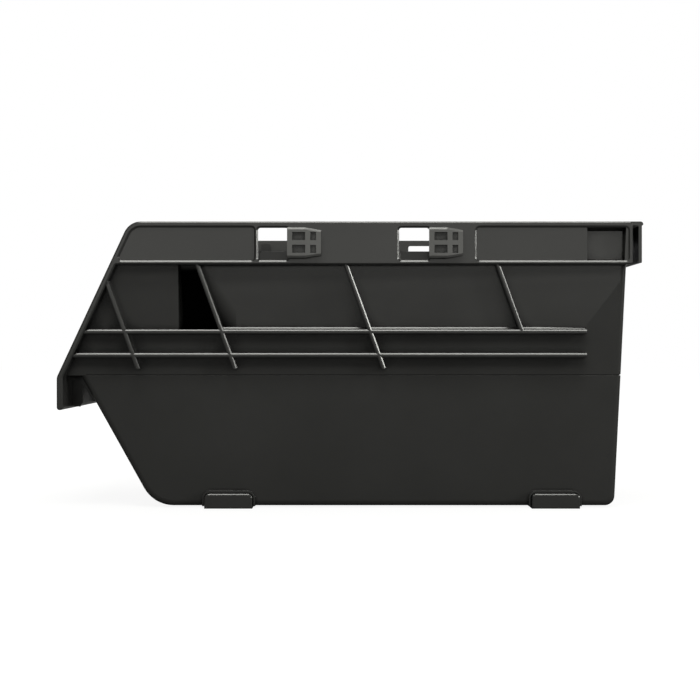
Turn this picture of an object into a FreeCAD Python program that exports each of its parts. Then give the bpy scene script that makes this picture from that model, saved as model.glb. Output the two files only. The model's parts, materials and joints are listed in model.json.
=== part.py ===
import FreeCAD, Part
import math
import os

from FreeCAD import Rotation, Vector

os.makedirs("parts", exist_ok=True)

# An open-fronted stacking storage bin
# Millimetres, +Z up, +X to the back, with the origin on the floor under the middle of the overall box

# Overall size
length = 300.0
rim_width = 160.0
height = 147.4

# Walls and draft
wall = 2.2
floor_thickness = 2.4
draft = math.tan(math.radians(2.5))
corner_radius = 3.2
seam_height = 68.5
seam_groove = 0.5
lap_height = 2.4
lap_gap = 0.1

# Rim: a band that stands outside the wall on an inner stacking shoulder
band_step = 6.6
band_thickness = 2.6
band_height = 22.0
shoulder_thickness = 1.6
rim_bevel = 0.7
rim_end_round = 0.4
opening_bevel = 0.9

# Slanted mouth and its flange
mouth_slope = math.tan(math.radians(25.0))
mouth_bend_drop = 0.8
mouth_bend_radius = 5.0
mouth_top_radius = 9.3
flange_thickness = 2.8

# Front lip with its hanging skirt
lip_drop = 17.6
lip_skirt = 3.1
lip_plate = 2.4
lip_corner_radius = 1.4
lip_edge_radius = 0.8
lip_web_spacing = 92.6
lip_web_thickness = 2.0
lip_web_depth = 5.3
lip_web_drop = 13.4
lip_web_leg = 4.0

# Back hook that hangs the bin on a rail
hook_reach = 7.4
hook_channel = 5.0
hook_skirt = 1.7
hook_plate = 2.0
hook_drop = 21.2
hook_top_radius = 1.4
hook_inner_radius = 0.8
hook_edge_radius = 0.5
band_past_wall = 2.0

# Tub below the seam
tub_bottom = 1.0
tub_setback = 10.8
tub_slope = math.tan(math.radians(28.9))
tub_front_radius = 17.5
tub_back_radius = 5.0

# Recesses in the band
recess_depth = 1.2
recess_above_shoulder = 0.5
recess_below_top = 3.0
recess_corner = 1.6
front_recess_end = -49.0
rear_recess_start = 64.8
rear_recess_margin = 2.4
pocket_length = 20.8
pocket_depth = 6.0
pocket_inset_top = 1.6
pocket_inset_bottom = 0.9
pocket_inset_back = 2.1
pocket_wall = 1.6

# Ribs on the side walls
rib_thickness = 2.2
rib_face_inset = 1.5
rib_bevel = 0.6
rib_lean = math.tan(math.radians(20.0))
rib_foot_rise = 3.9
level_rib_rises = (22.5, 10.4)
level_rib_margin = 21.2
grip_rib_setback = 91.0
long_rib_setbacks = (41.2, grip_rib_setback, 167.2)
short_rib_margin = 54.4

# Wedge-shaped grip recess under the band
wedge_setback = 61.5
wedge_rise = 24.9
wedge_low_margin = 21.2
wedge_high_margin = 3.2
wedge_end_drop = 8.2
wedge_depth = 7.0
wedge_edge = 0.7

# Finger pocket in front of the rib that crosses the grip recess
grip_depth_high = 6.5
grip_depth_low = 11.5
grip_end_slope = math.tan(math.radians(7.0))

# Side connectors: a window, and a sliding hook beside it
connector_pitch = 72.2
right_pair_centre = 4.35
left_pair_centre = -1.0
window_length = 15.3
window_above_shoulder = 0.6
window_below_top = 3.2
window_corner = 1.2
slide_gap = 0.4
stem_start = 1.0
stem_length = 15.0
stem_height = 6.8
head_length = 17.0
head_above_shoulder = 1.5
head_below_top = 3.5
head_standoff = 3.0
head_thickness = 3.6
head_ramp_start = 8.9
head_ramp_drop = 1.5
head_nose_taper = 1.3
head_bevel = 1.0
head_pocket_depth = 2.4
head_pocket_margin = 2.4
head_pocket_columns = ((2.4, 6.6), (11.6, 2.9))

# Inner retainer of each hook, with a thumb tab and a tongue behind the window
retainer_gap = 0.3
retainer_thickness = 2.0
retainer_length = 25.5
retainer_overlap = 1.6
retainer_end_wall = 0.5
retainer_bevel = 1.2
tongue_length = 14.5
tongue_root = 3.2
tongue_above_shoulder = 0.6
tongue_height = 4.6
tab_start = 10.6
tab_length = 5.4
tab_below_top = 2.0
tab_reach = 3.6
tab_bevel = 0.9

# Stacking feet in ring sockets
foot_setback = 87.3
foot_margin = 44.0
foot_length = 24.7
foot_top = 7.6
foot_reach = 6.5
foot_wrap = 8.0
foot_corner = 2.3
foot_bevel = 0.5
ring_gap = 0.45
ring_wall = 0.9
ring_reach = 3.0
ring_corner = 4.0
peg_length = 10.0
peg_low = 4.7
peg_height = 2.2
peg_gap = 0.1

# Places worked out from the sizes above: heights
shoulder_height = height - band_height
shoulder_top = shoulder_height + shoulder_thickness
mouth_bend_height = seam_height - mouth_bend_drop
lip_bottom = seam_height - lip_drop
lip_top = seam_height + lip_plate
hook_bottom = height - hook_drop
recess_low = shoulder_top + recess_above_shoulder
recess_high = height - recess_below_top
rib_foot_height = seam_height + rib_foot_rise
wedge_low = seam_height + wedge_rise
wedge_end_height = shoulder_height - wedge_end_drop
grip_low = seam_height + level_rib_rises[0] + rib_thickness / 2
window_low = shoulder_top + window_above_shoulder
window_high = height - window_below_top
head_low = shoulder_top + head_above_shoulder
head_high = height - head_below_top
stem_middle = (head_low + head_high) / 2
tongue_low = shoulder_top + tongue_above_shoulder
tongue_high = tongue_low + tongue_height
tab_top = height - tab_below_top

# Places along the bin
front_x = -length / 2
back_wall_x = length / 2 - hook_reach
band_end = back_wall_x + band_past_wall
flange_along = flange_thickness * math.hypot(1, mouth_slope)
skirt_x = front_x + lip_skirt
skirt_bend_height = mouth_bend_height + (lip_skirt - flange_along) / mouth_slope
rear_recess_end = band_end - rear_recess_margin
pocket_start = rear_recess_end - pocket_length
level_rib_end = back_wall_x - level_rib_margin
short_rib_foot = back_wall_x - short_rib_margin
wedge_front = front_x + wedge_setback
grip_rib_foot = front_x + grip_rib_setback
wedge_end_low = back_wall_x - wedge_low_margin
wedge_end_high = back_wall_x - wedge_high_margin
foot_places = {"front": front_x + foot_setback, "rear": length / 2 - foot_margin}
beyond = length

# Places across the bin
half_rim = rim_width / 2
band_inside = half_rim - band_thickness
rim_end_radius = rim_bevel + rim_end_round
foot_inner = half_rim - band_step - (shoulder_height - tub_bottom) * draft - foot_wrap


def half_width(z):
    """Half the width across the outer wall faces at height z."""
    return half_rim - band_step - (shoulder_height - z) * draft


def back_x(z):
    """Outer face of the back wall at height z."""
    return back_wall_x - (shoulder_height - z) * draft


def mouth_x(z):
    """Outer edge of the slanted mouth at height z."""
    return front_x + (z - mouth_bend_height) * mouth_slope


def tub_front_x(z):
    """Outer face of the tub's sloping front wall at height z."""
    return front_x + tub_setback + (seam_height - z) * tub_slope


def rounded_edges(corners, place):
    """Edges of a closed outline; corners are (a, b, radius) and place gives the point in space."""
    starts = []
    ends = []
    arcs = []
    count = len(corners)
    for i in range(count):
        a, b, radius = corners[i]
        here = Vector(a, b, 0)
        before = Vector(corners[i - 1][0], corners[i - 1][1], 0) - here
        after = Vector(corners[(i + 1) % count][0], corners[(i + 1) % count][1], 0) - here
        before.normalize()
        after.normalize()
        if radius == 0:
            starts.append(here)
            ends.append(here)
            arcs.append(None)
            continue
        half_angle = before.getAngle(after) / 2
        trim = radius / math.tan(half_angle)
        inward = before + after
        inward.normalize()
        middle = here + inward * (radius / math.sin(half_angle) - radius)
        starts.append(here + before * trim)
        ends.append(here + after * trim)
        arcs.append(middle)
    edges = []
    for i in range(count):
        if arcs[i] is not None:
            edges.append(Part.Arc(place(starts[i]), place(arcs[i]), place(ends[i])).toShape())
        goal = starts[(i + 1) % count]
        edges.append(Part.LineSegment(place(ends[i]), place(goal)).toShape())
    return edges


def bevelled(corners):
    """Outline whose corners (a, b, cut) are cut off straight, by cut along both edges."""
    outline = []
    for i in range(len(corners)):
        a, b, cut = corners[i]
        if cut == 0:
            outline.append((a, b, 0))
            continue
        here = Vector(a, b, 0)
        for other in (corners[i - 1], corners[(i + 1) % len(corners)]):
            along = Vector(other[0], other[1], 0) - here
            along.normalize()
            point = here + along * cut
            outline.append((point.x, point.y, 0))
    return outline


def side_prism(corners, y_low, y_high):
    """Solid with a side-view outline of (x, z, radius) corners between two y planes."""
    edges = rounded_edges(corners, lambda p: Vector(p.x, y_low, p.y))
    return Part.Face(Part.Wire(edges)).extrude(Vector(0, y_high - y_low, 0))


def end_prism(corners, x_low, x_high):
    """Solid with an end-view outline of (y, z, radius) corners between two x planes."""
    edges = rounded_edges(corners, lambda p: Vector(x_low, p.x, p.y))
    return Part.Face(Part.Wire(edges)).extrude(Vector(x_high - x_low, 0, 0))


def block(x_low, x_high, y_low, y_high, z_low, z_high):
    """Plain block between two corners."""
    size = (x_high - x_low, y_high - y_low, z_high - z_low)
    return Part.makeBox(*size, Vector(x_low, y_low, z_low))


def prismoid(first, last):
    """Solid with flat faces between two outlines of matching points."""
    faces = [Part.Face(Part.makePolygon(points + points[:1])) for points in (first, last)]
    for i in range(len(first)):
        quad = [first[i - 1], first[i], last[i], last[i - 1]]
        faces.append(Part.Face(Part.makePolygon(quad + quad[:1])))
    solid = Part.Solid(Part.Shell(faces))
    if solid.Volume < 0:
        solid.reverse()
    return solid


def mirrored(shape):
    """The same shape on the other side of the bin."""
    return shape.mirror(Vector(0, 0, 0), Vector(0, 1, 0))


def both_sides(shape):
    """A shape and its mirror image."""
    return [shape, mirrored(shape)]


def edges_where(shape, test):
    """Edges whose ends and middle all pass the test."""
    found = []
    for edge in shape.Edges:
        first, last = edge.ParameterRange
        points = [edge.valueAt(first), edge.valueAt((first + last) / 2), edge.valueAt(last)]
        if all(test(p) for p in points):
            found.append(edge)
    return found


def drafted_section(inset, z_low, z_high):
    """Solid between the two drafted side walls, drawn in by inset."""
    low = half_width(z_low) - inset
    high = half_width(z_high) - inset
    corners = [(-low, z_low, 0), (low, z_low, 0), (high, z_high, 0), (-high, z_high, 0)]
    return end_prism(corners, -beyond, beyond)


def on_side_wall(inset):
    """Test for points that lie on a drafted side wall drawn in by inset."""
    return lambda p: abs(abs(p.y) - half_width(p.z) + inset) < 0.01


def hopper(inset, floor_rise, top):
    """Tub body up to a height, its walls drawn in by inset and its floor raised."""
    low = tub_bottom + floor_rise
    lean = inset * math.hypot(1, tub_slope)
    front_low = tub_front_x(low) + lean
    front_high = tub_front_x(top) + lean
    outline = [
        (front_high, top, 0),
        (back_x(top) - inset, top, 0),
        (back_x(low) - inset, low, tub_back_radius - inset),
        (front_low, low, tub_front_radius - inset),
    ]
    body = side_prism(outline, -beyond, beyond).common(drafted_section(inset, low, top))
    rounds = edges_where(body, on_side_wall(inset))
    rounds = [edge for edge in rounds if not all(abs(v.Z - top) < 0.01 for v in edge.Vertexes)]
    return body.makeFillet(corner_radius - inset, rounds)


def upper_body(inset, front_corners, z_low, z_high):
    """Solid above the seam with rounded back corners, drawn in by inset."""
    outline = [(x, z, 0) for x, z in front_corners]
    outline += [(back_x(z_high) - inset, z_high, 0), (back_x(z_low) - inset, z_low, 0)]
    body = side_prism(outline, -beyond, beyond).common(drafted_section(inset, z_low, z_high))
    wall_test = on_side_wall(inset)
    corners = edges_where(body, lambda p: wall_test(p) and abs(p.x - back_x(p.z) + inset) < 0.01)
    return body.makeFillet(corner_radius - inset, corners)


def grip_rib_face(z, offset):
    """Place along the bin of a plane through the middle of the grip's rib, moved back by offset."""
    return grip_rib_foot - (z - rib_foot_height) * rib_lean + offset * math.hypot(1, rib_lean)


def wedge(grow, top):
    """Grip recess on the right side up to a height, grown by grow on its sides and floor."""
    low = wedge_low - grow
    rise = wedge_end_height - wedge_low
    run = wedge_end_high - wedge_end_low

    def away(x, z):
        return (wedge_end_low - x) * rise + (z - wedge_low) * run

    slope = wedge_depth / away(wedge_front, shoulder_height)
    outline = [
        (grip_rib_face(low, -grow), low),
        (wedge_end_low - grow * run / rise, low),
        (wedge_end_high, wedge_end_height),
        (wedge_end_high, top),
        (grip_rib_face(top, -grow), top),
    ]
    outside = [Vector(x, -half_rim, z) for x, z in outline]
    floor = [Vector(x, away(x, z) * slope + grow - half_width(z), z) for x, z in outline]
    return prismoid(outside, floor)


def wedge_lead():
    """Bevel along the lower edge of the grip recess on the right side."""
    face = half_width(wedge_low)
    corners = [
        (-face, wedge_low - wedge_edge, 0),
        (wedge_edge - face, wedge_low, 0),
        (-face - wedge_edge, wedge_low, 0),
    ]
    return end_prism(corners, grip_rib_face(wedge_low, 0), wedge_end_low)


def finger_pocket(grow, top):
    """Deep front end of the grip recess on the right side, grown by grow on its sides and floor."""
    low = grip_low - grow
    deepening = (grip_depth_low - grip_depth_high) / (shoulder_height - grip_low)

    def floor_y(z):
        return grip_depth_high + (shoulder_height - z) * deepening + grow - half_width(z)

    def end_x(y):
        return wedge_front - grow + (y + half_width(shoulder_height)) * grip_end_slope

    def corners(y_low, y_top):
        offset = grow - rib_thickness / 2
        return [
            Vector(end_x(y_low), y_low, low),
            Vector(grip_rib_face(low, offset), y_low, low),
            Vector(grip_rib_face(top, offset), y_top, top),
            Vector(end_x(y_top), y_top, top),
        ]

    return prismoid(corners(-half_rim, -half_rim), corners(floor_y(low), floor_y(top)))


def rib(foot_x, foot_z, top_x, top_z, round_foot):
    """Rib bar on the right side between two points, its outer edges bevelled."""
    run = Vector(top_x - foot_x, 0, top_z - foot_z)
    outer = rib_face_inset - half_rim
    inner = -half_rim + band_step + wedge_depth + wall
    across = run.cross(Vector(0, 1, 0))
    across.normalize()
    foot = Vector(foot_x, 0, foot_z)
    half = rib_thickness / 2
    outline = [
        (-half, outer, rib_bevel),
        (half, outer, rib_bevel),
        (half, inner, 0),
        (-half, inner, 0),
    ]
    edges = rounded_edges(bevelled(outline), lambda p: foot + across * p.x + Vector(0, p.y, 0))
    bar = Part.Face(Part.Wire(edges)).extrude(run)
    if not round_foot:
        return bar
    end = Part.makeCylinder(half, inner - outer, Vector(foot_x, outer, foot_z), Vector(0, 1, 0))
    rim = edges_where(end, lambda p: abs(p.y - outer) < 0.01)
    return bar.fuse(end.makeChamfer(rib_bevel, rim))


def side_ribs():
    """All ribs of the right side wall."""
    bars = []
    for z in [seam_height + rise for rise in level_rib_rises]:
        bars.append(rib(mouth_x(z) + flange_along / 2, z, level_rib_end, z, False))
    for foot_x in [front_x + setback for setback in long_rib_setbacks]:
        top_z = shoulder_top
        steep = foot_x - (top_z - rib_foot_height) * rib_lean
        edge_x = mouth_x(top_z) + flange_along / 2
        if steep < edge_x:
            gap = foot_x - mouth_x(rib_foot_height) - flange_along / 2
            top_z = rib_foot_height + gap / (mouth_slope + rib_lean)
        top_x = foot_x - (top_z - rib_foot_height) * rib_lean
        bars.append(rib(foot_x, rib_foot_height, top_x, top_z, True))
    foot_z = seam_height + level_rib_rises[0]
    top_x = short_rib_foot - (shoulder_top - foot_z) * rib_lean
    bars.append(rib(short_rib_foot, foot_z, top_x, shoulder_top, False))
    return bars


def recess_outlines():
    """Side-view outlines of the two shallow recesses in the band."""
    low_x = mouth_x(recess_low) + flange_along
    high_x = mouth_x(recess_high) + flange_along
    front = [
        (low_x, recess_low, recess_corner),
        (front_recess_end, recess_low, recess_corner),
        (front_recess_end, recess_high, recess_corner),
        (high_x, recess_high, mouth_top_radius - flange_thickness),
    ]
    rear = [
        (rear_recess_start, recess_low, recess_corner),
        (rear_recess_end, recess_low, recess_corner),
        (rear_recess_end, recess_high, recess_corner),
        (rear_recess_start, recess_high, recess_corner),
    ]
    return [front, rear]


def window_cut(edge_x, head_side):
    """Window in the right band whose head-side end is at edge_x."""
    other_x = edge_x - head_side * window_length
    low_x = min(edge_x, other_x)
    high_x = max(edge_x, other_x)
    outline = [
        (low_x, window_low, window_corner),
        (high_x, window_low, window_corner),
        (high_x, window_high, window_corner),
        (low_x, window_high, window_corner),
    ]
    return side_prism(outline, -half_rim, -band_inside)


def stem_slot(edge_x, head_side):
    """Slot beside a window of the right band, for the hook's stem."""
    window_side = edge_x - head_side * window_corner
    far_side = edge_x + head_side * (stem_start + stem_length + slide_gap)
    low_x, high_x = sorted((window_side, far_side))
    half = stem_height / 2 + slide_gap
    return block(low_x, high_x, -half_rim, -band_inside, stem_middle - half, stem_middle + half)


def side_plate(window_edges, head_side):
    """Right band with its slanted flange strip, recesses and windows."""
    outline = [
        (front_x, lip_bottom, lip_corner_radius),
        (front_x, mouth_bend_height, mouth_bend_radius),
        (mouth_x(height), height, mouth_top_radius),
        (band_end, height, rim_end_radius),
        (band_end, shoulder_height, rim_end_radius),
        (mouth_x(shoulder_height) + flange_along, shoulder_height, rim_end_radius),
        (skirt_x, skirt_bend_height, mouth_bend_radius - flange_thickness),
        (skirt_x, lip_bottom, lip_corner_radius),
    ]
    plate = side_prism(outline, -half_rim, -band_inside)
    rounds = edges_where(plate, lambda p: abs(p.y + half_rim) < 0.01)
    plate = plate.makeChamfer(rim_bevel, rounds)
    cuts = [side_prism(corners, -half_rim, recess_depth - half_rim) for corners in recess_outlines()]
    cuts += [window_cut(x, head_side) for x in window_edges]
    outer_edges = [edge.CenterOfMass for edge in plate.Edges]
    plate = plate.cut(cuts)

    def is_new(edge):
        return all(edge.CenterOfMass.distanceToPoint(c) > 0.01 for c in outer_edges)

    mouths = edges_where(plate, lambda p: abs(p.y + half_rim) < 0.01)
    plate = plate.makeChamfer(opening_bevel, [edge for edge in mouths if is_new(edge)])
    return plate.cut([stem_slot(x, head_side) for x in window_edges])


def pocket():
    """Deep pocket at the back end of the right rear recess."""
    outer_y = recess_depth - half_rim
    inner_y = pocket_depth - half_rim
    mouth = [
        (pocket_start, recess_low),
        (rear_recess_end, recess_low),
        (rear_recess_end, recess_high),
        (pocket_start, recess_high),
    ]
    back = [
        (pocket_start, recess_low + pocket_inset_bottom),
        (rear_recess_end - pocket_inset_back, recess_low + pocket_inset_bottom),
        (rear_recess_end - pocket_inset_back, recess_high - pocket_inset_top),
        (pocket_start, recess_high - pocket_inset_top),
    ]
    first = [Vector(x, outer_y, z) for x, z in mouth]
    last = [Vector(x, inner_y, z) for x, z in back]
    return prismoid(first, last)


def pocket_back():
    """Block inside the right band that carries the deep pocket."""
    inner_y = pocket_depth + pocket_wall - half_rim
    z_high = recess_high + pocket_wall
    return block(pocket_start - pocket_wall, back_wall_x, -band_inside, inner_y, shoulder_top, z_high)


def flange_strip():
    """Inner depth of the slanted flange on the right side, from the band to the wall's inner face."""
    low = seam_height
    under = height - flange_thickness
    top_end = mouth_x(height) + mouth_top_radius + flange_along
    corners = [
        (mouth_x(low), low, 0),
        (mouth_x(height), height, mouth_top_radius),
        (top_end, height, 0),
        (top_end, under, 0),
        (mouth_x(under) + flange_along, under, mouth_top_radius - flange_thickness),
        (mouth_x(low) + flange_along, low, 0),
    ]
    return side_prism(corners, -band_inside, wall - half_width(seam_height))


def shoulder():
    """Stacking shoulder of the right side, between the band and the wall."""
    corners = [
        (mouth_x(shoulder_height), shoulder_height, 0),
        (band_end - rim_end_radius, shoulder_height, 0),
        (band_end - rim_end_radius, shoulder_top, 0),
        (mouth_x(shoulder_top), shoulder_top, 0),
    ]
    return side_prism(corners, rim_bevel - half_rim, wall - half_width(seam_height))


def front_lip():
    """Front lip across the whole width: hanging skirt, plate towards the tub and two webs."""
    skirt = [
        (front_x, lip_bottom, lip_corner_radius),
        (front_x, mouth_bend_height, mouth_bend_radius),
        (mouth_x(lip_top), lip_top, lip_edge_radius),
        (mouth_x(lip_top) + flange_along, lip_top, 0),
        (skirt_x, skirt_bend_height, mouth_bend_radius - flange_thickness),
        (skirt_x, lip_bottom, lip_corner_radius),
    ]
    plate_end = tub_front_x(lip_top) + corner_radius * 2
    plate = [
        (mouth_x(seam_height) + flange_along / 2, seam_height, 0),
        (plate_end, seam_height, 0),
        (plate_end, lip_top, 0),
        (mouth_x(lip_top) + flange_along / 2, lip_top, 0),
    ]
    skirt_half = half_rim - rim_bevel
    plate_half = half_width(seam_height)
    web_half = lip_web_thickness / 2
    pieces = [side_prism(plate, -plate_half, plate_half)]
    for middle in (-lip_web_spacing / 2, lip_web_spacing / 2):
        pieces.append(side_prism(lip_web(), middle - web_half, middle + web_half))
    return side_prism(skirt, -skirt_half, skirt_half).fuse(pieces)


def lip_web():
    """Side-view outline of a web under the lip, notched between the skirt and the tub."""
    root_x = skirt_x - lip_skirt / 2
    root_z = seam_height + lip_plate / 2
    edge_x = skirt_x + lip_web_depth
    low = seam_height - lip_web_drop
    tub_low_x = tub_front_x(low) - lap_gap
    tub_high_x = tub_front_x(seam_height) - lap_gap
    corners = [
        (root_x, lip_bottom + lip_corner_radius),
        (edge_x - lip_corner_radius, lip_bottom + lip_corner_radius / 2),
        (edge_x, lip_bottom + lip_corner_radius * 2),
        (edge_x, seam_height - lip_web_depth),
        (tub_low_x - lip_web_leg, low),
        (tub_low_x, low),
        (tub_high_x, seam_height),
        (tub_high_x, root_z),
        (root_x, root_z),
    ]
    return [(x, z, 0) for x, z in corners]


def back_hook():
    """Upper back wall with the top plate and hanging skirt that hook over a rail."""
    wall_in = back_x(height) - wall
    outline_wall = [
        (back_x(shoulder_height) - wall, shoulder_height, 0),
        (back_x(shoulder_height), shoulder_height, 0),
        (back_x(height), height, 0),
        (wall_in, height, 0),
    ]
    skirt_in = back_wall_x + hook_channel
    skirt_out = skirt_in + hook_skirt
    under = height - hook_plate
    outline_hook = [
        (wall_in, height, 0),
        (wall_in, under, 0),
        (skirt_in, under, hook_inner_radius),
        (skirt_in, hook_bottom, hook_edge_radius),
        (skirt_out, hook_bottom, hook_edge_radius),
        (skirt_out, under, 0),
        (length / 2, under, hook_edge_radius),
        (length / 2, height, hook_top_radius),
    ]
    side = half_rim - rim_bevel
    return side_prism(outline_wall, -side, side).fuse(side_prism(outline_hook, -side, side))


def window_places(centre):
    """Head-side ends of the front and rear windows of one side."""
    return [centre - connector_pitch / 2, centre + connector_pitch / 2]


def rim_frame():
    """Upper moulding: ribbed side walls, rim band, mouth flange, front lip and back hook."""
    mouth = [(mouth_x(z) + flange_along / 2, z) for z in (seam_height, shoulder_top)]
    body = upper_body(0, mouth, seam_height, shoulder_top)
    for shape in (wedge(0, shoulder_height), wedge_lead(), finger_pocket(0, shoulder_height)):
        body = body.cut(both_sides(shape))
    pieces = []
    for shape in side_ribs() + [flange_strip(), shoulder()]:
        pieces += both_sides(shape)
    body = body.fuse(pieces)
    open_front = [(-beyond, seam_height - wall), (-beyond, height + wall)]
    cavity = upper_body(wall, open_front, seam_height - wall, height + wall)
    for shape in (wedge(wall, shoulder_top), finger_pocket(wall, shoulder_top)):
        cavity = cavity.cut(both_sides(shape))
    body = body.cut(cavity)
    right_plate = side_plate(window_places(right_pair_centre), 1)
    left_plate = mirrored(side_plate(window_places(left_pair_centre), -1))
    body = body.fuse([right_plate, left_plate, front_lip(), back_hook()] + both_sides(pocket_back()))
    body = body.cut(both_sides(pocket()))
    rebate = hopper(wall / 2, floor_thickness, seam_height + lap_height + lap_gap)
    body = body.cut([rebate, seam_cut()])
    return body.removeSplitter()


def seam_cut():
    """Fine groove round the lower edge of the rim frame that leaves a shadow line at the seam."""
    top = seam_height + seam_groove
    start = tub_front_x(seam_height) + corner_radius
    outside = upper_body(-seam_groove, [(start, seam_height), (start, top)], seam_height, top)
    inside = upper_body(seam_groove, [(front_x, seam_height), (front_x, top)], seam_height, top)
    return outside.cut(inside)


def lower_tub():
    """Lower moulding: hopper with a lap tongue, foot rings and peg holes."""
    body = hopper(0, 0, seam_height)
    body = body.fuse([ring for x in foot_places.values() for ring in both_sides(foot_ring(x))])
    tongue = hopper(wall / 2 + lap_gap, floor_thickness, seam_height + lap_height)
    body = body.fuse(tongue)
    body = body.cut(hopper(wall, floor_thickness, seam_height + lap_height))
    holes = [hole for x in foot_places.values() for hole in both_sides(peg(x, peg_gap))]
    return body.cut(holes).removeSplitter()


def arch(x, half, low, top, radius):
    """Arch outline standing on the floor line."""
    return [(x - half, low, 0), (x + half, low, 0), (x + half, top, radius), (x - half, top, radius)]


def foot_ring(x):
    """Raised ring round one right foot, carried by the tub's wall."""
    inner_half = foot_length / 2 + ring_gap
    inner_top = foot_top + ring_gap
    outer = arch(x, inner_half + ring_wall, tub_bottom, inner_top + ring_wall, ring_corner)
    inner = arch(x, inner_half, 0, inner_top, ring_corner - ring_wall)
    face_y = -half_width(tub_bottom) - ring_reach
    return side_prism(outer, face_y, -foot_inner).cut(side_prism(inner, face_y, -foot_inner))


def peg(x, gap):
    """Peg of one right foot, grown by gap; it passes through the tub's wall."""
    half = peg_length / 2 + gap
    outer_y = -half_width(tub_bottom) - foot_reach / 2
    return block(x - half, x + half, outer_y, -foot_inner, peg_low - gap, peg_low + peg_height + gap)


def foot(x):
    """Right stacking foot: a rounded block that wraps the tub's lower edge, with a peg."""
    half = foot_length / 2
    outline = [
        (x - half, 0, 0),
        (x + half, 0, 0),
        (x + half, foot_top, foot_corner),
        (x - half, foot_top, foot_corner),
    ]
    face_y = -half_width(tub_bottom) - foot_reach
    body = side_prism(outline, face_y, -foot_inner)
    body = body.makeChamfer(foot_bevel, edges_where(body, lambda p: abs(p.y - face_y) < 0.01))
    body = body.cut(hopper(0, 0, seam_height))
    tub_inside = hopper(wall, floor_thickness, seam_height)
    return body.fuse(peg(x, 0).cut(tub_inside)).removeSplitter()


def head_section(x, face_y, low, high):
    """Cross-section of a hook's head at x, its two front edges bevelled."""
    back = -half_rim - head_standoff
    corners = [
        (back, low, 0),
        (face_y, low, head_bevel),
        (face_y, high, head_bevel),
        (back, high, 0),
    ]
    return Part.Wire(rounded_edges(bevelled(corners), lambda p: Vector(x, p.x, p.y)))


def hook_head():
    """Outer head of a connector, drawn with its window edge at x = 0 on the right side."""
    face = -half_rim - head_standoff - head_thickness
    full = (face, head_low, head_high)
    nose = (face + head_ramp_drop, head_low + head_nose_taper, head_high - head_nose_taper)
    sections = [(-slide_gap / 2, full), (head_ramp_start, full), (head_length, nose)]
    head = Part.makeLoft([head_section(x, *size) for x, size in sections], True, True)
    floor_y = face + head_pocket_depth
    row_height = (head_high - head_low - 3 * head_pocket_margin) / 2
    pockets = []
    for column_x, column_length in head_pocket_columns:
        for row in range(2):
            row_z = head_low + head_pocket_margin + row * (row_height + head_pocket_margin)
            across = (column_x, column_x + column_length)
            upright = (row_z, row_z + row_height)
            pockets.append(block(*across, face, floor_y, *upright))
    return head.cut(pockets)


def stem(outer_y, inner_y):
    """Stem of a connector, or the hole for it, between two y planes."""
    half = stem_height / 2
    ends = (stem_start, stem_start + stem_length)
    return block(*ends, outer_y, inner_y, stem_middle - half, stem_middle + half)


def hook():
    """Head and stem of a connector as one moulding."""
    inner_y = -band_inside + retainer_gap + retainer_thickness
    return hook_head().fuse(stem(-half_rim - head_standoff, inner_y)).removeSplitter()


def retainer():
    """Inner plate of a connector, with the stem's hole, the tongue and the thumb tab."""
    outer_y = -band_inside + retainer_gap
    inner_y = outer_y + retainer_thickness
    stem_top = stem_middle + stem_height / 2
    low = stem_middle - stem_height / 2 - retainer_overlap
    high = stem_top + retainer_overlap
    start = stem_start - retainer_end_wall
    outline = [
        (-tongue_length, tongue_low, retainer_bevel),
        (start + tongue_root, tongue_low, 0),
        (start + tongue_root + retainer_overlap, low, 0),
        (start + retainer_length, low, retainer_bevel),
        (start + retainer_length, high, retainer_bevel),
        (start, high, 0),
        (start, tongue_high, 0),
        (-tongue_length, tongue_high, retainer_bevel),
    ]
    tab_end = tab_start + tab_length
    tab_corners = [
        (tab_start, stem_top, 0),
        (tab_end, stem_top, 0),
        (tab_end, tab_top, tab_bevel),
        (tab_start, tab_top, tab_bevel),
    ]
    plate = side_prism(bevelled(outline), outer_y, inner_y).cut(stem(outer_y, inner_y))
    tab = side_prism(bevelled(tab_corners), outer_y, inner_y + tab_reach)
    return plate.fuse(tab).removeSplitter()


def placed(shape, edge_x, head_side):
    """A connector piece at its window; on the left side it is turned half round."""
    copy = shape.copy()
    if head_side < 0:
        copy.Placement = FreeCAD.Placement(Vector(0, 0, 0), Rotation(Vector(0, 0, 1), 180))
    copy.translate(Vector(edge_x, 0, 0))
    return copy


def build():
    """All pieces by node name."""
    nodes = {"rim_frame": rim_frame(), "lower_tub": lower_tub()}
    sides = {"right": (right_pair_centre, 1), "left": (left_pair_centre, -1)}
    for place, x in foot_places.items():
        nodes["foot_right_" + place] = foot(x)
        nodes["foot_left_" + place] = mirrored(foot(x))
    for side, (centre, head_side) in sides.items():
        for place, edge_x in zip(("front", "rear"), window_places(centre)):
            nodes["hook_" + side + "_" + place] = placed(hook(), edge_x, head_side)
            nodes["retainer_" + side + "_" + place] = placed(retainer(), edge_x, head_side)
    return nodes


for name, shape in build().items():
    solids = shape.Solids
    print(name, len(solids), shape.isValid(), round(shape.Volume, 1), shape.BoundBox)
    shape.exportStep("parts/" + name + ".step")
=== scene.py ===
import json
import math

import bpy
from mathutils import Euler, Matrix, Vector

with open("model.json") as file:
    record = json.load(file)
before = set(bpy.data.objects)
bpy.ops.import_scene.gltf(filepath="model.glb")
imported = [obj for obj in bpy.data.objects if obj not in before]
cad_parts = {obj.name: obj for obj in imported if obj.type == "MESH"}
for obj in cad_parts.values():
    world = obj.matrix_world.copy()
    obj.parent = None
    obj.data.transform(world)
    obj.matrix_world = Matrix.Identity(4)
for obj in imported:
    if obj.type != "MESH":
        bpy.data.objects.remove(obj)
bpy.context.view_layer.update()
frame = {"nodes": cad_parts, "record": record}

# Lengths are in metres and angles in degrees, except where a name says otherwise

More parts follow.
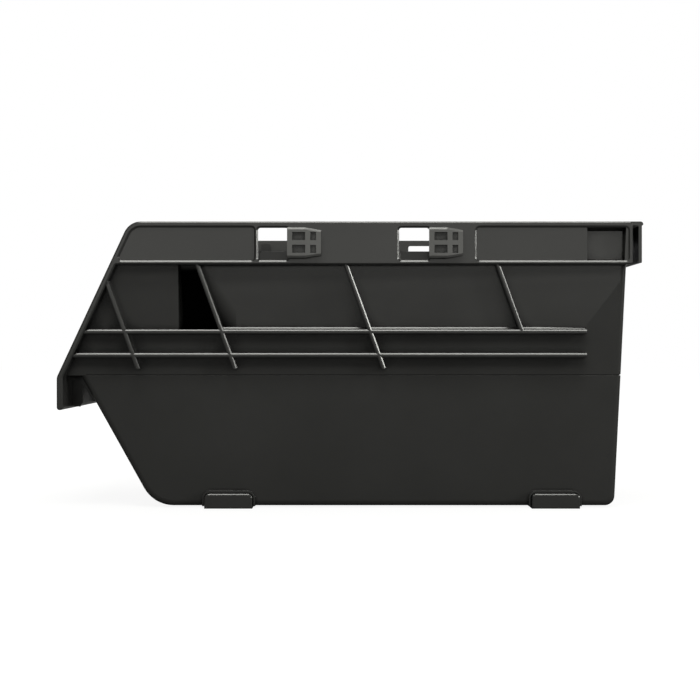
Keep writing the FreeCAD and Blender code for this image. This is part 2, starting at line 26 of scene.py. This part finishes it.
# Camera: level, square to the right side, with a long lens
picture_width_px = 700
rim_metres_per_px = 0.511e-3
rim_half_width = 0.080
camera_distance = 0.888
camera_height = 0.08165
sensor_width_mm = 36.0
nearest_seen = 0.01
farthest_seen = 50.0

# Colour and gloss of the moulded plastics
shell_colour = (0.027, 0.027, 0.0265, 1.0)
connector_colour = (0.095, 0.095, 0.093, 1.0)
# The retainers' colour is darker than their slot's plastic: painted shade for their place behind the
# windows
retainer_colour_with_painted_shade = (0.018, 0.018, 0.018, 1.0)
shell_roughness = 0.19
connector_roughness = 0.26
specular_level = 0.5

# Spark grain
grain_size = 0.00045
grain_depth = 0.000012
grain_detail = 2.0
grain_strength = 0.25

# Flow marks, which change the tone and the gloss a little
flow_size = 0.045
flow_detail = 3.0
flow_range = (0.3, 0.7)
flow_tone = (0.94, 1.06)
flow_gloss = 0.02

# Rounded edges, and bevels on the sides shaded as if they leaned less
edge_round = 0.00015
edge_samples = 4
bevel_flatten = 0.62
bevel_rise = (0.3, 0.5)
bevel_fall = (0.85, 0.97)

# Painted shade in deep corners: the base colour is darkened where ambient occlusion finds nearby
# surfaces
crease_reach = 0.008
crease_samples = 8
crease_range = (0.42, 0.68)
crease_painted_shade = 0.02

# Painted shade in the finger pockets above the ribs: their place, and how far outward a face must look
# to get the painted shade
pocket_middle = -0.076
pocket_half = 0.017
pocket_floor = 0.0668
pocket_blend = 0.0004
pocket_foot = 0.088
pocket_facing = 0.5
pocket_painted_shade = 0.02

# White surroundings
white = (1.0, 1.0, 1.0, 1.0)
rear_direction = 0.1
floor_half = 6.0
floor_colour = (0.10, 0.10, 0.10, 1.0)
floor_roughness = 0.8
floor_glow = (0.90, 1.0)
floor_glow_radii = (0.25, 0.9)

# Lamps: name, azimuth from the camera, elevation, angles filled across and upward, radiance
lamp_distance = 2.2
lamp_aim = (0.0, -0.06, 0.08)
lamp_colour = (1.0, 1.0, 0.95)
lamps = (
    ("front", 0.0, 38.0, (70.0, 16.0), 4.1),
    ("low front", 0.0, 5.0, (70.0, 8.0), 1.3),
    ("strip", 0.0, 62.5, (30.0, 13.0), 12.0),
    ("overhead", 0.0, 92.0, (40.0, 14.0), 2.5),
    ("side", 63.0, 14.0, (9.0, 18.0), 24.0),
    ("rear left", -112.0, 42.0, (44.0, 18.0), 4.0),
    ("rear right", 112.0, 42.0, (44.0, 18.0), 4.0),
    ("rear", 180.0, 42.0, (44.0, 18.0), 4.0),
)


def link(tree, output, target):
    """Joins two sockets of a node tree."""
    tree.links.new(output, target)


def math_node(tree, operation, first, second):
    """Output of a node that joins two values, each a number or an output."""
    node = tree.nodes.new("ShaderNodeMath")
    node.operation = operation
    for value, target in zip((first, second), node.inputs):
        if isinstance(value, float):
            target.default_value = value
        else:
            link(tree, value, target)
    return node.outputs[0]


def range_node(tree, value, source, target):
    """Output of a node that maps one range of values to another."""
    node = tree.nodes.new("ShaderNodeMapRange")
    node.inputs["From Min"].default_value, node.inputs["From Max"].default_value = source
    node.inputs["To Min"].default_value, node.inputs["To Max"].default_value = target
    link(tree, value, node.inputs["Value"])
    return node.outputs[0]


def split(tree, vector):
    """X, Y and Z of a vector, as outputs."""
    node = tree.nodes.new("ShaderNodeSeparateXYZ")
    link(tree, vector, node.inputs[0])
    return node.outputs


def noise(tree, place, size, detail):
    """Noise value at a place, with marks of about the given size."""
    node = tree.nodes.new("ShaderNodeTexNoise")
    node.inputs["Scale"].default_value = 1.0 / size
    node.inputs["Detail"].default_value = detail
    link(tree, place, node.inputs["Vector"])
    return node.outputs["Fac"]


def seen(tree):
    """Factor that is 1 on rays that reach the camera, also through clear things."""
    path = tree.nodes.new("ShaderNodeLightPath")
    return math_node(tree, "MAXIMUM", path.outputs["Is Camera Ray"], path.outputs["Is Transmission Ray"])


def new_material(name):
    """Material with nodes, and its shader."""
    material = bpy.data.materials.new(name)
    material.use_nodes = True
    return material, material.node_tree.nodes["Principled BSDF"]


def camera():
    """Camera at the photograph's place."""
    data = bpy.data.cameras.new("camera")
    field = picture_width_px * rim_metres_per_px
    data.sensor_width = sensor_width_mm
    data.lens = sensor_width_mm * camera_distance / field
    data.clip_start = nearest_seen
    data.clip_end = farthest_seen
    body = bpy.data.objects.new("camera", data)
    body.location = (0.0, -rim_half_width - camera_distance, camera_height)
    body.rotation_euler = (math.radians(90.0), 0.0, 0.0)
    bpy.context.scene.collection.objects.link(body)
    bpy.context.scene.camera = body


def softbox(name, azimuth, elevation, angles, radiance):
    """Rectangular lamp seen from the bin in a direction and under two angles."""
    data = bpy.data.lights.new(name, "AREA")
    data.shape = "RECTANGLE"
    wide, high = [2 * lamp_distance * math.tan(math.radians(angle) / 2) for angle in angles]
    data.size = wide
    data.size_y = high
    data.energy = radiance * math.pi * wide * high
    data.color = lamp_colour
    lamp = bpy.data.objects.new(name, data)
    turn = Euler((math.radians(90.0 - elevation), 0.0, math.radians(azimuth)))
    lamp.rotation_euler = turn
    lamp.location = Vector(lamp_aim) + turn.to_matrix() @ Vector((0.0, 0.0, lamp_distance))
    bpy.context.scene.collection.objects.link(lamp)


def backdrop():
    """White world, seen by the camera and mirrored only from behind the bin."""
    world = bpy.data.worlds.new("studio")
    world.use_nodes = True
    bpy.context.scene.world = world
    tree = world.node_tree
    ray = tree.nodes.new("ShaderNodeTexCoord")
    rear = math_node(tree, "GREATER_THAN", split(tree, ray.outputs["Generated"])["Y"], rear_direction)
    path = tree.nodes.new("ShaderNodeLightPath")
    mirrored = math_node(tree, "MULTIPLY", path.outputs["Is Glossy Ray"], rear)
    background = tree.nodes["Background"]
    background.inputs["Color"].default_value = white
    link(tree, math_node(tree, "MAXIMUM", seen(tree), mirrored), background.inputs["Strength"])


def glowing(tree, lit):
    """Lit surface with a white glow for the camera, a little less near the bin to keep its shadow."""
    place = tree.nodes.new("ShaderNodeTexCoord")
    away = tree.nodes.new("ShaderNodeVectorMath")
    away.operation = "LENGTH"
    link(tree, place.outputs["Object"], away.inputs[0])
    glow = range_node(tree, away.outputs["Value"], floor_glow_radii, floor_glow)
    emission = tree.nodes.new("ShaderNodeEmission")
    link(tree, math_node(tree, "MULTIPLY", seen(tree), glow), emission.inputs["Strength"])
    both = tree.nodes.new("ShaderNodeAddShader")
    link(tree, lit, both.inputs[0])
    link(tree, emission.outputs[0], both.inputs[1])
    return both.outputs[0]


def ground():
    """Floor under the bin, matt and nearly white to the camera."""
    mesh = bpy.data.meshes.new("floor")
    corners = [(-1, -1), (1, -1), (1, 1), (-1, 1)]
    mesh.from_pydata([(x * floor_half, y * floor_half, 0.0) for x, y in corners], [], [(0, 1, 2, 3)])
    floor = bpy.data.objects.new("floor", mesh)
    bpy.context.scene.collection.objects.link(floor)
    material, paint = new_material("floor")
    tree = material.node_tree
    paint.inputs["Base Color"].default_value = floor_colour
    paint.inputs["Roughness"].default_value = floor_roughness
    paint.inputs["Specular IOR Level"].default_value = 0.0
    output = tree.nodes["Material Output"]
    link(tree, glowing(tree, paint.outputs[0]), output.inputs["Surface"])
    mesh.materials.append(material)


def studio():
    """World, floor and lamps."""
    bpy.context.scene.view_settings.view_transform = "Standard"
    backdrop()
    ground()
    for lamp in lamps:
        softbox(*lamp)


def soft_normal(tree):
    """Normal with softly rounded edges, whose narrow bevels on the sides lean less than 45 degrees."""
    soft = tree.nodes.new("ShaderNodeBevel")
    soft.samples = edge_samples
    soft.inputs["Radius"].default_value = edge_round
    apart = split(tree, soft.outputs["Normal"])
    sideways = math_node(tree, "ABSOLUTE", apart["Y"], 0.0)
    rising = range_node(tree, sideways, bevel_rise, (0.0, 1.0))
    falling = range_node(tree, sideways, bevel_fall, (1.0, 0.0))
    share = math_node(tree, "MULTIPLY", rising, falling)
    scale = range_node(tree, share, (0.0, 1.0), (1.0, bevel_flatten))
    joined = tree.nodes.new("ShaderNodeCombineXYZ")
    link(tree, apart["Y"], joined.inputs["Y"])
    for axis in ("X", "Z"):
        link(tree, math_node(tree, "MULTIPLY", apart[axis], scale), joined.inputs[axis])
    unit = tree.nodes.new("ShaderNodeVectorMath")
    unit.operation = "NORMALIZE"
    link(tree, joined.outputs[0], unit.inputs[0])
    return unit.outputs["Vector"]


def painted_pocket_shade(tree):
    """Painted shade: factor that is low on the outward faces deep inside the finger pockets above the
    ribs, darkening their colour and their reflections.
    """
    geometry = tree.nodes.new("ShaderNodeNewGeometry")
    place = split(tree, geometry.outputs["Position"])
    facing = split(tree, geometry.outputs["Normal"])
    side = math_node(tree, "ABSOLUTE", place["Y"], 0.0)
    deep = range_node(tree, side, (pocket_floor - pocket_blend, pocket_floor), (1.0, 0.0))
    high = math_node(tree, "GREATER_THAN", place["Z"], pocket_foot)
    offset = math_node(tree, "SUBTRACT", place["X"], pocket_middle)
    near = math_node(tree, "LESS_THAN", math_node(tree, "ABSOLUTE", offset, 0.0), pocket_half)
    outward = math_node(tree, "MULTIPLY", math_node(tree, "SIGN", place["Y"], 0.0), facing["Y"])
    outside = math_node(tree, "GREATER_THAN", outward, pocket_facing)
    factor = deep
    for condition in (high, near, outside):
        factor = math_node(tree, "MULTIPLY", factor, condition)
    return range_node(tree, factor, (0.0, 1.0), (1.0, pocket_painted_shade))


def plastic(name, colour, roughness, paints_pocket_shade=False):
    """Satin moulded plastic: spark grain, faint flow marks, soft edges, painted shade in deep corners,
    and painted shade in the finger pockets when asked for.
    """
    material, paint = new_material(name)
    tree = material.node_tree
    place = tree.nodes.new("ShaderNodeTexCoord").outputs["Object"]

    flow = noise(tree, place, flow_size, flow_detail)
    marks = range_node(tree, flow, flow_range, flow_tone)
    # Painted shade: ambient occlusion darkens the base colour in creases, recesses and under overhangs
    crease_occlusion = tree.nodes.new("ShaderNodeAmbientOcclusion")
    crease_occlusion.samples = crease_samples
    crease_occlusion.only_local = True
    crease_occlusion.inputs["Distance"].default_value = crease_reach
    painted_crease_shade = range_node(tree, crease_occlusion.outputs["AO"], crease_range, (crease_painted_shade, 1.0))
    # Random flow-mark tone times the painted corner shade
    tone_and_painted_shade = math_node(tree, "MULTIPLY", marks, painted_crease_shade)
    # Painted shade in the finger pockets: darker colour and weaker reflections there
    if paints_pocket_shade:
        pocket_shade_factor = painted_pocket_shade(tree)
        tone_and_painted_shade = math_node(tree, "MULTIPLY", tone_and_painted_shade, pocket_shade_factor)
        painted_shade_specular = math_node(tree, "MULTIPLY", pocket_shade_factor, specular_level)
        link(tree, painted_shade_specular, paint.inputs["Specular IOR Level"])
    tint = tree.nodes.new("ShaderNodeMix")
    tint.data_type = "RGBA"
    tint.blend_type = "MULTIPLY"
    tint.inputs["Factor"].default_value = 1.0
    tint.inputs["A"].default_value = colour
    link(tree, tone_and_painted_shade, tint.inputs["B"])
    link(tree, tint.outputs["Result"], paint.inputs["Base Color"])
    gloss = range_node(tree, flow, flow_range, (roughness - flow_gloss, roughness + flow_gloss))
    link(tree, gloss, paint.inputs["Roughness"])

    bump = tree.nodes.new("ShaderNodeBump")
    bump.inputs["Strength"].default_value = grain_strength
    bump.inputs["Distance"].default_value = grain_depth
    link(tree, noise(tree, place, grain_size, grain_detail), bump.inputs["Height"])
    link(tree, soft_normal(tree), bump.inputs["Normal"])
    link(tree, bump.outputs["Normal"], paint.inputs["Normal"])
    return material


def dress():
    """Gives every CAD piece its finish; the retainers get a darker colour than their slot's, painted
    shade for their place behind the windows.
    """
    finishes = {
        "shell": plastic("shell_plastic", shell_colour, shell_roughness, paints_pocket_shade=True),
        "connector": plastic("connector_plastic", connector_colour, connector_roughness),
    }
    # Painted shade: the retainers behind the windows get a darker colour than their slot's plastic
    shaded_retainer_finish = plastic("retainer_painted_shade_plastic", retainer_colour_with_painted_shade, connector_roughness)
    for part in frame["record"]["subparts"]:
        node = frame["nodes"][part["node"]]
        inner = part["node"].startswith("retainer")
        node.data.materials.clear()
        node.data.materials.append(shaded_retainer_finish if inner else finishes[part["material_slot"]])


camera()
studio()
dress()
